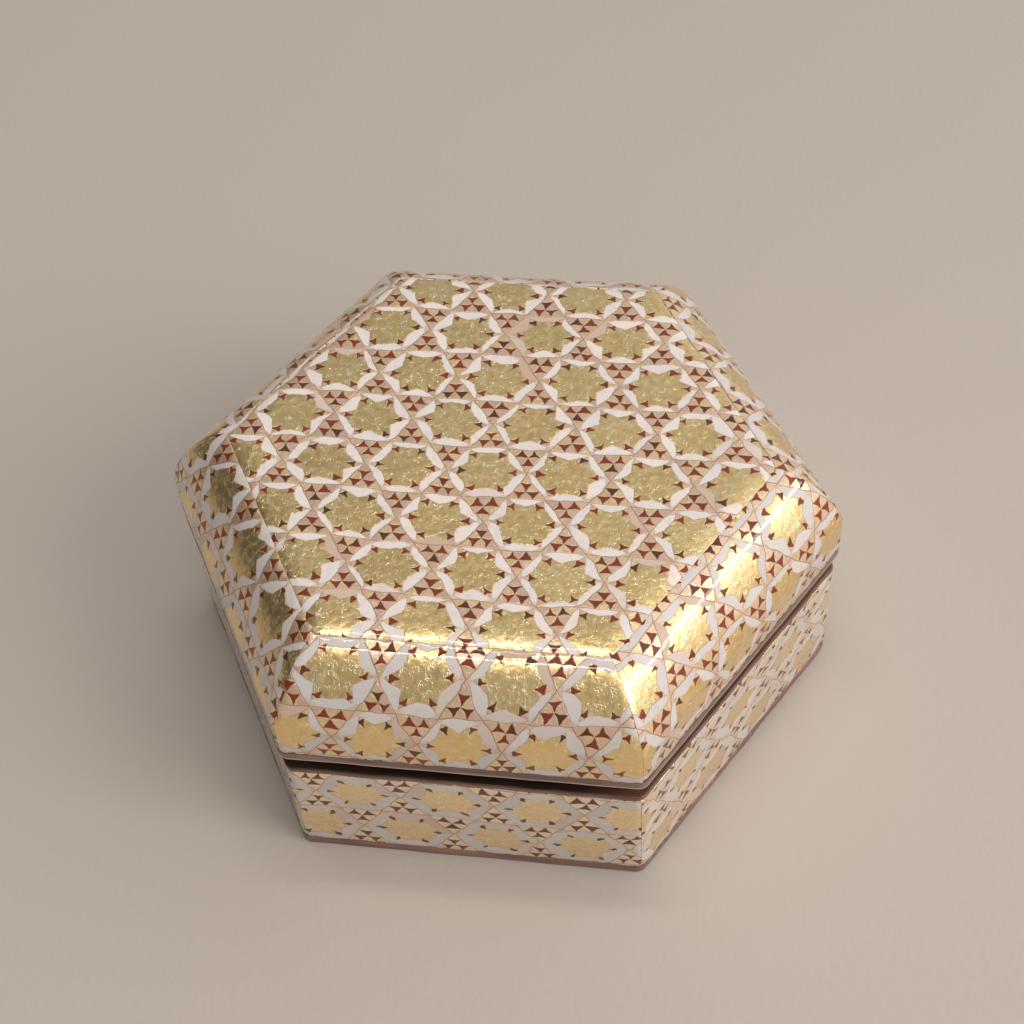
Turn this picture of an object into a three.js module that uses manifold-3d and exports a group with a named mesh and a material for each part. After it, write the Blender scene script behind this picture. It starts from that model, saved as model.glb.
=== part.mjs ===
// A six-sided wooden box with a lift-off lid, covered in thin marquetry sheets.
// Millimetres, +Z up. The origin is the centre of the underside; one flat side faces -Y.
import * as THREE from 'three';
import { mergeVertices } from 'three/addons/utils/BufferGeometryUtils.js';
import Module from 'manifold-3d';

const wasm = await Module();
wasm.setup();

// Plan. An apothem is the distance from the centre to the middle of a flat side.
// The lid hangs a little over the base. The outer corners are worn round, and the corners
// behind the sheets are nearly sharp.
const baseApothem = 42.7;
const lidOverhang = 0.5;
const shoulderWidth = 8.8;
const arrisRadius = 1.8;
const innerCorner = 0.4;

// Layers and the clearances between neighbours.
const sheetThickness = 1.4;
const glueLine = 0.1;
const mitreGap = 0.15;

// Heights of the base, from the underside up.
const boardThickness = 2.4;
const boardEdge = 1.7;
const basePanelHeight = 17.5;
const rimStrip = 0.9;

// Heights of the lid, from the rim up.
const openLine = 3.2;
const lipStrip = 1.4;
const bandHeight = 7.3;
const shoulderDrop = 10.3;

// The shoulder leaves the seam at a gentle slope and meets the band at a steep one.
const seamSlope = THREE.MathUtils.degToRad(14);
const bendSlope = THREE.MathUtils.degToRad(74.5);
const seamReach = 0.32;
const bendReach = 0.3;

// The top sheet turns down slightly towards the seam.
const crownWidth = 3;
const crownDrop = 0.3;

// Wooden walls, and the tongue of the base that stands inside the lid.
const lidWall = 4.7;
const lidClearance = 0.4;
const tongueThickness = 2.4;
const tongueEngagement = 7;
const stepWidth = 4;
const ceilingThickness = 3;

// Fineness of the curves.
const arrisSteps = 4;
const shoulderSteps = 14;
const crownSteps = 3;

// Heights worked out from the sizes above.
const panelBottom = boardEdge + glueLine;
const panelTop = boardEdge + basePanelHeight;
const rimTop = panelTop + rimStrip;
const lip = rimTop + openLine;
const bend = lip + bandHeight;
const seam = bend + shoulderDrop;
const tongueTop = lip + tongueEngagement;
const lidStep = tongueTop + glueLine;

// Plan sizes worked out from the sizes above.
const lidApothem = baseApothem + lidOverhang;
const seamApothem = lidApothem - shoulderWidth;
const coreInset = sheetThickness + glueLine;
const coreCorner = innerCorner - glueLine;
const baseCore = baseApothem - coreInset;
const tongueOuter = lidApothem - lidWall - lidClearance;
const baseCavity = tongueOuter - tongueThickness;
const lidCavity = lidApothem - lidWall;
const lidUpperCavity = lidCavity - stepWidth;

const SIDES = ['front', 'front_right', 'back_right', 'back', 'back_left', 'front_left'];
const SIDE_ANGLE = Math.PI / 3;

// Points of a level hexagon with rounded corners, anticlockwise from the corner at +X.
function hexagon(apothem, corner) {
  const reach = (apothem - corner) / Math.cos(SIDE_ANGLE / 2);
  const points = [];
  for (let side = 0; side < SIDES.length; side += 1) {
    const middle = side * SIDE_ANGLE;
    for (let step = 0; step <= arrisSteps; step += 1) {
      const turn = middle + (step / arrisSteps - 0.5) * SIDE_ANGLE;
      points.push([
        reach * Math.cos(middle) + corner * Math.cos(turn),
        reach * Math.sin(middle) + corner * Math.sin(turn),
      ]);
    }
  }
  return points;
}

// A closed solid through a stack of hexagons, each given as its apothem and its height.
function stack(levels, corner) {
  const positions = [];
  const faces = [];
  for (const level of levels) {
    for (const [x, y] of hexagon(level.x, corner)) {
      positions.push(x, y, level.y);
    }
  }
  const count = SIDES.length * (arrisSteps + 1);
  for (let row = 0; row + 1 < levels.length; row += 1) {
    for (let point = 0; point < count; point += 1) {
      const a = row * count + point;
      const b = row * count + ((point + 1) % count);
      faces.push(a, b, b + count, a, b + count, a + count);
    }
  }
  const last = (levels.length - 1) * count;
  for (let point = 1; point + 1 < count; point += 1) {
    faces.push(0, point + 1, point);
    faces.push(last, last + point, last + point + 1);
  }
  return new wasm.Manifold(new wasm.Mesh({
    numProp: 3,
    vertProperties: Float32Array.from(positions),
    triVerts: Uint32Array.from(faces),
  }));
}

// An upright block between two heights.
function block(apothem, corner, bottom, top) {
  return stack([new THREE.Vector2(apothem, bottom), new THREE.Vector2(apothem, top)], corner);
}

// The upright wedge that holds one side's share of a ring, drawn in by half a gap at each mitre.
function sideWedge(side) {
  const apex = mitreGap / (2 * Math.sin(SIDE_ANGLE / 2));
  const length = 2 * lidApothem;
  const half = length * Math.tan(SIDE_ANGLE / 2);
  const outline = new THREE.Shape();
  outline.moveTo(apex, 0);
  outline.lineTo(apex + length, -half);
  outline.lineTo(apex + length, half);
  outline.closePath();
  const geometry = new THREE.ExtrudeGeometry(outline, { depth: 2 * seam, bevelEnabled: false });
  geometry.rotateZ(side * SIDE_ANGLE - Math.PI / 2);
  return solidOf(geometry);
}

function solidOf(geometry) {
  geometry.deleteAttribute('normal');
  geometry.deleteAttribute('uv');
  const merged = mergeVertices(geometry);
  return new wasm.Manifold(new wasm.Mesh({
    numProp: 3,
    vertProperties: Float32Array.from(merged.attributes.position.array),
    triVerts: Uint32Array.from(merged.index.array),
  }));
}

function meshOf(solid, name, material) {
  const { vertProperties, triVerts } = solid.getMesh();
  const geometry = new THREE.BufferGeometry();
  geometry.setAttribute('position', new THREE.BufferAttribute(vertProperties, 3));
  geometry.setIndex(new THREE.BufferAttribute(triVerts, 1));
  geometry.computeVertexNormals();
  const mesh = new THREE.Mesh(geometry, material.clone());
  mesh.name = name;
  return mesh;
}

// The shoulder's curve in the upright plane across a side: x is the apothem, y the height.
function shoulderCurve() {
  const from = new THREE.Vector2(lidApothem, bend);
  const to = new THREE.Vector2(seamApothem, seam);
  const chord = from.distanceTo(to);
  const nearBend = new THREE.Vector2(-Math.cos(bendSlope), Math.sin(bendSlope));
  const nearSeam = new THREE.Vector2(Math.cos(seamSlope), -Math.sin(seamSlope));
  return new THREE.CubicBezierCurve(
    from,
    from.clone().addScaledVector(nearBend, bendReach * chord),
    to.clone().addScaledVector(nearSeam, seamReach * chord),
    to,
  );
}

// The lid's outline from the lip to the seam, drawn in by an inset square to the surface.
function lidLevels(inset) {
  const curve = shoulderCurve();
  const levels = [new THREE.Vector2(lidApothem - inset, lip)];
  for (let step = 0; step <= shoulderSteps; step += 1) {
    const point = curve.getPoint(step / shoulderSteps);
    const along = curve.getTangent(step / shoulderSteps);
    point.x = Math.min(point.x - inset * along.y, lidApothem - inset);
    point.y += inset * along.x;
    levels.push(point);
  }
  return levels;
}

// The crown's outline from the seam in to where the top is flat.
function crownLevels() {
  const levels = [];
  for (let step = 1; step <= crownSteps; step += 1) {
    const share = step / crownSteps;
    const rise = crownDrop * (1 - (1 - share) ** 2);
    levels.push(new THREE.Vector2(seamApothem - crownWidth * share, seam + rise));
  }
  return levels;
}

// Each side's sheet, cut from a ring that goes all round.
function sideSheets(ring, prefix, material, group) {
  SIDES.forEach((side, index) => {
    group.add(meshOf(ring.intersect(sideWedge(index)), `${prefix}_${side}`, material));
  });
}

const wood = new THREE.MeshStandardMaterial({ color: '#7a4a33', roughness: 0.45, metalness: 0 });
const marquetry = new THREE.MeshStandardMaterial({ color: '#c2a878', roughness: 0.28, metalness: 0.3 });

// The bottom board: its edge shows, and its middle is let in under the walls.
function baseBoard() {
  const edge = block(baseApothem, arrisRadius, 0, boardEdge);
  const middle = block(baseCore, coreCorner, 0, boardThickness);
  return edge.add(middle);
}

// The wall ring: a wall behind the sheets, a rim strip over them and a tongue above the rim.
function baseWalls() {
  const bottom = boardThickness + glueLine;
  const wall = block(baseCore, coreCorner, bottom, rimTop);
  const rim = block(baseApothem, arrisRadius, panelTop + glueLine, rimTop);
  const tongue = block(tongueOuter, coreCorner, bottom, tongueTop);
  const cavity = block(baseCavity, coreCorner, 0, 2 * tongueTop);
  return wall.add(rim).add(tongue).subtract(cavity);
}

function baseSheetRing() {
  const outer = block(baseApothem, arrisRadius, panelBottom, panelTop);
  const inner = block(baseApothem - sheetThickness, innerCorner, 0, 2 * panelTop);
  return outer.subtract(inner);
}

// The lid's body: hollow, with a step inside that rests on the tongue.
function lidShell() {
  const levels = lidLevels(coreInset);
  const core = stack(levels, coreCorner);
  const edge = block(lidApothem, arrisRadius, lip, lip + lipStrip);
  const ceiling = levels[levels.length - 1].y - ceilingThickness;
  const lower = block(lidCavity, coreCorner, 0, lidStep);
  const upper = block(lidUpperCavity, coreCorner, 0, ceiling);
  return core.add(edge).subtract(lower).subtract(upper);
}

// The skin of marquetry over the whole lid, above its lip edge.
function lidSkin() {
  const outer = stack([...lidLevels(0), ...crownLevels()], arrisRadius);
  const inner = stack(lidLevels(sheetThickness), innerCorner);
  const lipEdge = block(2 * lidApothem, arrisRadius, 0, lip + lipStrip + glueLine);
  return outer.subtract(inner).subtract(lipEdge);
}

const box = new THREE.Group();
box.add(meshOf(baseBoard(), 'base_board', wood));
box.add(meshOf(baseWalls(), 'base_walls', wood));
sideSheets(baseSheetRing(), 'base_panel', marquetry, box);
box.add(meshOf(lidShell(), 'lid_shell', wood));

const skin = lidSkin();
const topShare = block(seamApothem - mitreGap, arrisRadius, 0, 2 * seam);
const shoulderHole = block(seamApothem, arrisRadius, 0, 2 * seam);
box.add(meshOf(skin.intersect(topShare), 'lid_top_panel', marquetry));
sideSheets(skin.subtract(shoulderHole), 'lid_panel', marquetry, box);

export default box;
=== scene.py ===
"""Dresses the hexagonal marquetry box: its star-patterned sheets, its wooden body and a plain studio.

Metres, +Z up, origin at the centre of the underside, one flat side towards -Y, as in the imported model.
Every surface is worked out with numpy on a grid of two parameters, and every finish is a node graph.
"""
from __future__ import annotations

import functools
import logging
import math
from dataclasses import dataclass, field
from enum import Enum
from typing import Callable, Sequence, Union
import bpy
import numpy as np
from mathutils import Matrix


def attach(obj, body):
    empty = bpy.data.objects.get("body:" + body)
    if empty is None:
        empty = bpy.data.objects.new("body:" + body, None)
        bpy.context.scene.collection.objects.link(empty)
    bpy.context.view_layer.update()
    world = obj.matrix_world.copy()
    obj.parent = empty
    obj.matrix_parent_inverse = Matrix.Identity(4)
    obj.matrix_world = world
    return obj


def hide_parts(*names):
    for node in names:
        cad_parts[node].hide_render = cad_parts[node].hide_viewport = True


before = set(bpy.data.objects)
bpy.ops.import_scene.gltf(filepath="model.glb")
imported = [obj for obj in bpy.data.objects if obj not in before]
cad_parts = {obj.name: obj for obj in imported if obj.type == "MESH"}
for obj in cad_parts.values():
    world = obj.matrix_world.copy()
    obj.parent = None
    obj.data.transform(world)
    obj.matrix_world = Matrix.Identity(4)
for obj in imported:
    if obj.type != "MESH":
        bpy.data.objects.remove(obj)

log = logging.getLogger("marquetry_box")

MM = 0.001
SIXTH_TURN = math.pi / 3
TAN_30 = math.tan(math.pi / 6)
COS_30 = math.cos(math.pi / 6)
ROW_RISE = math.sqrt(3) / 2
STAR_MAP = "lattice"
GRAIN_MAP = "grain"
GRAIN_SHIFT = 0.37
BAND_POINTS = 30
CURVE_POINTS = 90
WALL_POINTS = 40

Colour = tuple[float, float, float]
Span = tuple[float, float]


class Side(Enum):
    """A side of the hexagon, numbered anticlockwise from the front."""

    FRONT = 0
    FRONT_RIGHT = 1
    BACK_RIGHT = 2
    BACK = 3
    BACK_LEFT = 4
    FRONT_LEFT = 5

    @property
    def label(self) -> str:
        """The side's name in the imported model's nodes."""
        return self.name.lower()

    @property
    def turn(self) -> float:
        """The angle from +X to the side's outward direction."""
        return self.value * SIXTH_TURN - math.pi / 2


@dataclass(frozen=True)
class Plan:
    """The box's sizes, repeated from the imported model's source."""

    base_apothem: float = 42.7 * MM
    lid_apothem: float = 43.2 * MM
    seam_apothem: float = 34.4 * MM
    arris: float = 1.8 * MM
    inner_corner: float = 0.4 * MM
    sheet: float = 1.4 * MM
    glue: float = 0.1 * MM
    mitre_gap: float = 0.04 * MM
    board_edge: float = 1.7 * MM
    board: float = 2.4 * MM
    panel_bottom: float = 1.8 * MM
    panel_top: float = 19.2 * MM
    rim_top: float = 20.1 * MM
    lip: float = 23.3 * MM
    lip_edge: float = 24.7 * MM
    bend: float = 30.6 * MM
    seam: float = 40.9 * MM
    top: float = 41.2 * MM
    crown_width: float = 3.0 * MM
    tongue_top: float = 30.3 * MM
    lid_step: float = 30.4 * MM
    lid_wall: float = 4.7 * MM
    lid_clearance: float = 0.4 * MM
    tongue: float = 2.4 * MM
    step_width: float = 4.0 * MM
    ceiling: float = 3.0 * MM
    seam_slope: float = math.radians(14.0)
    bend_slope: float = math.radians(74.5)
    seam_reach: float = 0.32
    bend_reach: float = 0.3


PLAN = Plan()


# Geometry


@dataclass(frozen=True)
class Ripple:
    """The unevenness of hand work: a sum of plane waves with seeded directions and phases."""

    seed: int
    depth: float
    length: float
    waves: int = 14
    spread: Span = (0.6, 1.7)

    def at(self, points: np.ndarray) -> np.ndarray:
        """How far each point lies below the ideal surface, from 0 to about the depth.

        Args:
            points: Places in metres, with x, y, z in the last axis.

        Returns:
            One depth for each point: half the depth, plus a quarter of it times the sum of sines
            scaled to about one.
        """
        rng = np.random.default_rng(self.seed)
        direction = rng.normal(size=(self.waves, 3))
        direction /= np.linalg.norm(direction, axis=1, keepdims=True)
        number = 2 * math.pi / (self.length * rng.uniform(*self.spread, self.waves))
        phase = rng.uniform(0, 2 * math.pi, self.waves)
        total = np.sin(points @ (direction * number[:, None]).T + phase).sum(-1)
        return self.depth * np.clip(0.5 + 0.25 * total / math.sqrt(self.waves / 2), 0, 1)


@dataclass
class Shell:
    """A closed mesh as arrays: its points, its faces and the flat coordinates of each face's corners."""

    points: np.ndarray
    quads: np.ndarray
    quad_uv: np.ndarray
    tris: np.ndarray = field(default_factory=lambda: np.zeros((0, 3), int))
    tri_uv: np.ndarray = field(default_factory=lambda: np.zeros((0, 3, 2)))

    def piece(self, name: str, uv_name: str, crease: float = math.radians(32)) -> bpy.types.Object:
        """Puts the arrays into a mesh object at the origin.

        Args:
            name: The object's name.
            uv_name: The name of its UV map.
            crease: The angle above which an edge is shaded sharp.

        Returns:
            The new object, linked to the scene.
        """
        mesh = bpy.data.meshes.new(name)
        mesh.from_pydata(self.points.tolist(), [], self.quads.tolist() + self.tris.tolist())
        layer = mesh.uv_layers.new(name=uv_name)
        flat = np.concatenate([self.quad_uv.reshape(-1), self.tri_uv.reshape(-1)])
        layer.data.foreach_set("uv", flat.astype(np.float32))
        mesh.polygons.foreach_set("use_smooth", np.ones(len(mesh.polygons), bool))
        mesh.set_sharp_from_angle(angle=crease)
        mesh.update()
        made = bpy.data.objects.new(name, mesh)
        bpy.context.scene.collection.objects.link(made)
        return made


def grid_quads(rows: int, columns: int, wrap_rows: bool, wrap_columns: bool) -> np.ndarray:
    """Corner numbers of a grid's quads, row by row.

    Args:
        rows: The number of rows of points.
        columns: The number of points in a row.
        wrap_rows: Whether the last row joins the first.
        wrap_columns: Whether the last column joins the first.

    Returns:
        An array of rows of four corner numbers.
    """
    row = np.arange(rows if wrap_rows else rows - 1)[:, None]
    column = np.arange(columns if wrap_columns else columns - 1)[None, :]
    above = (row + 1) % rows
    beside = (column + 1) % columns
    corners = (
        row * columns + column,
        row * columns + beside,
        above * columns + beside,
        above * columns + column,
    )
    return np.stack(corners, -1).reshape(-1, 4)


@dataclass(frozen=True)
class HexPath:
    """The way round a hexagon with rounded corners, cut at the middle of each corner.

    A point at apothem a with corner radius c is (a - c) times its spoke plus c times its normal.
    """

    flat_steps: int
    arc_steps: int = 4

    def side(self) -> tuple[np.ndarray, np.ndarray]:
        """Spokes and normals of one side that faces +X, from mitre to mitre."""
        bow = np.linspace(-math.pi / 6, 0, self.arc_steps + 1)
        flat = np.linspace(-1, 1, self.flat_steps + 1)[1:-1]
        turn = np.concatenate([bow, np.zeros(len(flat)), -bow[::-1]])
        along = np.concatenate([-np.ones(len(bow)), flat, np.ones(len(bow))])
        spoke = np.stack([np.ones(len(along)), along * TAN_30], -1)
        normal = np.stack([np.cos(turn), np.sin(turn)], -1)
        return spoke, normal

    def around(self) -> tuple[np.ndarray, np.ndarray, np.ndarray]:
        """Spokes, normals and side numbers of the whole way round, anticlockwise from the front."""
        spoke, normal = self.side()
        spokes = [turned(spoke[:-1], side.turn) for side in Side]
        normals = [turned(normal[:-1], side.turn) for side in Side]
        numbers = np.repeat(np.arange(len(Side)), len(spoke) - 1)
        return np.concatenate(spokes), np.concatenate(normals), numbers


def turned(flat: np.ndarray, angle: float) -> np.ndarray:
    """Flat vectors turned about +Z by an angle."""
    cosine, sine = math.cos(angle), math.sin(angle)
    x, y = flat[..., 0], flat[..., 1]
    return np.stack([cosine * x - sine * y, sine * x + cosine * y], -1)


@dataclass(frozen=True)
class Profile:
    """A line in the upright plane across a side: apothem and height of each of its points."""

    line: np.ndarray

    @property
    def run(self) -> np.ndarray:
        """The length of the line up to each point."""
        step = np.linalg.norm(np.diff(self.line, axis=0), axis=1)
        return np.concatenate([[0.0], np.cumsum(step)])

    @property
    def normals(self) -> np.ndarray:
        """Unit normals on the right of the line, which is outside when it goes up the outer face."""
        along = np.gradient(self.line, axis=0)
        along /= np.maximum(np.linalg.norm(along, axis=1, keepdims=True), 1e-12)
        return np.stack([along[:, 1], -along[:, 0]], -1)

    def resampled(self, places: np.ndarray) -> "Profile":
        """The same line with points at the given lengths along it."""
        run = self.run
        return Profile(np.stack([np.interp(places, run, self.line[:, k]) for k in (0, 1)], -1))


def swept(line: np.ndarray, corner: np.ndarray, spoke: np.ndarray, normal: np.ndarray) -> np.ndarray:
    """Carries a profile along a hexagon's path: (a - c) spoke + c normal, at the profile's height.

    Args:
        line: Apothem and height of each row.
        corner: The corner radius of each row.
        spoke: The path's spokes.
        normal: The path's normals.

    Returns:
        The grid of points, rows by columns by three.
    """
    reach = (line[:, 0] - corner)[:, None, None] * spoke[None]
    round_part = corner[:, None, None] * normal[None]
    height = np.broadcast_to(line[:, 1][:, None, None], reach.shape[:2] + (1,))
    return np.concatenate([reach + round_part, height], -1)


def eased_steps(ease: float, count: int = 4) -> np.ndarray:
    """Places within an eased edge, closest together at its very end."""
    return ease * (1 - np.cos(np.linspace(0, math.pi / 2, count + 1)))


def eased_places(length: float, step: float, ease: float) -> np.ndarray:
    """Places along a line, closer together within an eased edge at both ends."""
    near = eased_steps(ease)
    count = max(2, round((length - 2 * ease) / step))
    middle = np.linspace(ease, length - ease, count + 1)[1:-1]
    return np.concatenate([near, middle, length - near[::-1]])


def eased_depth(places: np.ndarray, length: float, ease: float) -> np.ndarray:
    """How far a quarter-round edge falls below the face: r - sqrt(r^2 - (r - x)^2) within r of an end."""
    inside = np.clip(np.minimum(places, length - places), 0, ease)
    return ease - np.sqrt(np.maximum(ease**2 - (ease - inside) ** 2, 0))


def bezier(ends: Sequence[Sequence[float]], count: int) -> np.ndarray:
    """Points of a cubic curve from its four control points, by the Bernstein sum."""
    share = np.linspace(0, 1, count)[:, None]
    first, second, third, fourth = (np.array(end)[None] for end in ends)
    rest = 1 - share
    outer = rest**3 * first + share**3 * fourth
    return outer + 3 * rest**2 * share * second + 3 * rest * share**2 * third


def lid_outline(plan: Plan, bottom: float) -> Profile:
    """The lid's outer line from a height on its band up to the seam."""
    chord = math.hypot(plan.lid_apothem - plan.seam_apothem, plan.seam - plan.bend)
    start = np.array([plan.lid_apothem, plan.bend])
    end = np.array([plan.seam_apothem, plan.seam])
    leave = np.array([-math.cos(plan.bend_slope), math.sin(plan.bend_slope)])
    arrive = np.array([math.cos(plan.seam_slope), -math.sin(plan.seam_slope)])
    near_start = start + plan.bend_reach * chord * leave
    near_end = end + plan.seam_reach * chord * arrive
    curve = bezier((start, near_start, near_end, end), CURVE_POINTS)
    band = np.linspace([plan.lid_apothem, bottom], start, BAND_POINTS)[:-1]
    return Profile(np.concatenate([band, curve]))


# Node graphs

Value = Union["Wire", float]


def pairwise(operation: str, swapped: bool = False) -> Callable[["Wire", Value], "Wire"]:
    """A method that adds a Math node over the wire and another value.

    Args:
        operation: Blender's name of the operation.
        swapped: Whether the other value comes first.

    Returns:
        The method.
    """

    def method(wire: "Wire", other: Value) -> "Wire":
        """The node's result."""
        pair = (other, wire) if swapped else (wire, other)
        return wire.graph.math(operation, *pair)

    return method


def single(operation: str, *others: float) -> Callable[["Wire"], "Wire"]:
    """A method that adds a Math node over the wire alone, or with fixed numbers."""

    def method(wire: "Wire") -> "Wire":
        """The node's result."""
        return wire.graph.math(operation, wire, *others)

    return method


class Wire:
    """A number or vector in a finish's node graph. Arithmetic on it adds Math nodes.

    Size is the value without its sign, nearest and floor are whole numbers, fraction is what is left
    above the floor, and most and least are the larger and the smaller of two.
    """

    def __init__(self, graph: "Graph", socket: bpy.types.NodeSocket) -> None:
        """Holds an output socket of the graph."""
        self.graph = graph
        self.socket = socket

    __add__ = __radd__ = pairwise("ADD")
    __sub__ = pairwise("SUBTRACT")
    __rsub__ = pairwise("SUBTRACT", swapped=True)
    __mul__ = __rmul__ = pairwise("MULTIPLY")
    __lt__ = pairwise("LESS_THAN")
    __gt__ = pairwise("GREATER_THAN")
    __neg__ = single("MULTIPLY", -1.0)
    most = pairwise("MAXIMUM")
    least = pairwise("MINIMUM")
    size = single("ABSOLUTE")
    nearest = single("ROUND")
    floor = single("FLOOR")
    fraction = single("FRACT")

    def inverse(self) -> "Wire":
        """One minus the value, which turns a mask over."""
        return 1.0 - self


def largest(*wires: Wire) -> Wire:
    """The largest of several values."""
    return functools.reduce(Wire.most, wires)


def smallest(*wires: Wire) -> Wire:
    """The smallest of several values."""
    return functools.reduce(Wire.least, wires)


class Graph:
    """A material's node tree, built up through wires."""

    def __init__(self, name: str) -> None:
        """Starts a material with only its output and its shader.

        Args:
            name: The material's name.
        """
        self.material = bpy.data.materials.new(name)
        self.material.use_nodes = True
        self.tree = self.material.node_tree
        self.tree.nodes.clear()
        self.shader = self.tree.nodes.new("ShaderNodeBsdfPrincipled")
        output = self.tree.nodes.new("ShaderNodeOutputMaterial")
        self.tree.links.new(self.shader.outputs["BSDF"], output.inputs["Surface"])

    def feed(self, socket: bpy.types.NodeSocket, value: Value | Colour) -> None:
        """Links a wire to an input socket, or writes a constant on it."""
        if isinstance(value, Wire):
            self.tree.links.new(value.socket, socket)
        elif isinstance(value, tuple) and socket.type == "RGBA":
            socket.default_value = (*value, 1.0)
        else:
            socket.default_value = value

    def add(self, kind: str, *values: Value | Colour, **settings: str) -> bpy.types.Node:
        """One node with its first inputs fed.

        Args:
            kind: Blender's name of the node, less its usual start.
            values: Its inputs in order.
            settings: Its options by name.

        Returns:
            The node.
        """
        node = self.tree.nodes.new("ShaderNode" + kind)
        for name, setting in settings.items():
            setattr(node, name, setting)
        for socket, value in zip(node.inputs, values):
            self.feed(socket, value)
        return node

    def math(self, operation: str, *values: Value) -> Wire:
        """The result of one Math node."""
        return Wire(self, self.add("Math", *values, operation=operation).outputs[0])

    def vector_math(self, operation: str, *values: Value | Colour) -> Wire:
        """The vector that one Vector Math node gives."""
        return Wire(self, self.add("VectorMath", *values, operation=operation).outputs["Vector"])

    def scaled(self, vector: Wire, factor: Value) -> Wire:
        """A vector times a number."""
        node = self.add("VectorMath", vector, operation="SCALE")
        self.feed(node.inputs["Scale"], factor)
        return Wire(self, node.outputs["Vector"])

    def map_place(self, name: str) -> Wire:
        """The place on the piece's own UV map of that name."""
        return Wire(self, self.add("UVMap", uv_map=name).outputs["UV"])

    def object_place(self) -> Wire:
        """The place in the object's own coordinates, in metres."""
        return Wire(self, self.add("TexCoord").outputs["Object"])

    def surface_normal(self) -> Wire:
        """The direction that the surface faces."""
        return Wire(self, self.add("NewGeometry").outputs["Normal"])

    def split(self, vector: Wire) -> tuple[Wire, Wire, Wire]:
        """The three numbers of a vector or colour."""
        x, y, z = (Wire(self, output) for output in self.add("SeparateXYZ", vector).outputs)
        return x, y, z

    def joined(self, x: Value, y: Value, z: Value) -> Wire:
        """A vector from three numbers."""
        return Wire(self, self.add("CombineXYZ", x, y, z).outputs[0])

    def cloud(
        self, place: Wire, scale: float, detail: float = 0.0, distortion: float = 0.0
    ) -> tuple[Wire, Wire]:
        """Smooth noise: its value and its colour, both about one half.

        Args:
            place: Where it is read.
            scale: How many features there are in one unit.
            detail: How many finer layers lie over the first.
            distortion: How much it is warped.

        Returns:
            The value and the colour.
        """
        node = self.add("TexNoise", place, noise_dimensions="3D")
        node.inputs["Scale"].default_value = scale
        node.inputs["Detail"].default_value = detail
        node.inputs["Distortion"].default_value = distortion
        return Wire(self, node.outputs[0]), Wire(self, node.outputs[1])

    def dice(self, place: Wire, number: Value = 0.0) -> tuple[Wire, Wire]:
        """A random value and colour for each distinct place and number."""
        node = self.add("TexWhiteNoise", place, number, noise_dimensions="4D")
        return Wire(self, node.outputs["Value"]), Wire(self, node.outputs["Color"])

    def ease(self, value: Value, low: float, high: float, start: float = 0.0, end: float = 1.0) -> Wire:
        """A smooth step from start to end as the value goes from low to high."""
        node = self.add("MapRange", value, low, high, start, end, interpolation_type="SMOOTHSTEP")
        return Wire(self, node.outputs[0])

    def mixed(self, kind: str, sockets: Sequence[int], *values: Value | Colour) -> bpy.types.Node:
        """One Mix node of a kind, with its share and its two ends fed at the sockets given."""
        node = self.add("Mix", data_type=kind)
        for socket, value in zip(sockets, values):
            self.feed(node.inputs[socket], value)
        return node

    def between(self, share: Value, first: Value, second: Value) -> Wire:
        """The first number where the share is 0, the second where it is 1."""
        return Wire(self, self.mixed("FLOAT", (0, 2, 3), share, first, second).outputs[0])

    def tinted(self, share: Value, first: Wire | Colour, second: Wire | Colour) -> Wire:
        """The first colour where the share is 0, the second where it is 1."""
        return Wire(self, self.mixed("RGBA", (0, 6, 7), share, first, second).outputs[2])

    def bumped(self, height: Wire, unit: float, normal: Wire | None = None) -> Wire:
        """The normal of a surface with this height, in units of that many metres."""
        node = self.add("Bump")
        node.inputs["Distance"].default_value = unit
        self.feed(node.inputs["Height"], height)
        if normal is not None:
            self.feed(node.inputs["Normal"], normal)
        return Wire(self, node.outputs[0])

    def finish(self, settings: dict[str, Value | Colour]) -> bpy.types.Material:
        """Sets the shader's inputs by name and gives back the material."""
        for name, value in settings.items():
            self.feed(self.shader.inputs[name], value)
        return self.material


# Finishes


@dataclass(frozen=True)
class Lattice:
    """How the star pattern lies on a sheet, in metres along its lower edge and up its face."""

    pitch: float
    row_gap: float
    star_along: float
    star_up: float
    lean: float = 0.0
    stars_on: int = 0

    def coordinates(self, along: np.ndarray, up: np.ndarray) -> np.ndarray:
        """Places in the pattern's own plane, where neighbouring stars are one unit apart.

        Args:
            along: Metres along the sheet's lower edge.
            up: Metres up the sheet's face.

        Returns:
            The two coordinates: along less the first star and the rows' lean, over the pitch, and
            up less the first star, over the row gap, times a regular lattice's row gap.
        """
        rise = up - self.star_up
        across = (along - self.star_along - self.lean * rise) / self.pitch + self.stars_on
        return np.stack([across, rise / self.row_gap * ROW_RISE], -1)


@dataclass(frozen=True)
class Inlay:
    """What the star pattern says of each point, as wires."""

    bone: Wire
    bone_end: Wire
    red: Wire
    small: Wire
    glued: Wire
    chance: Wire
    chances: Wire
    place: Wire


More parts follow.
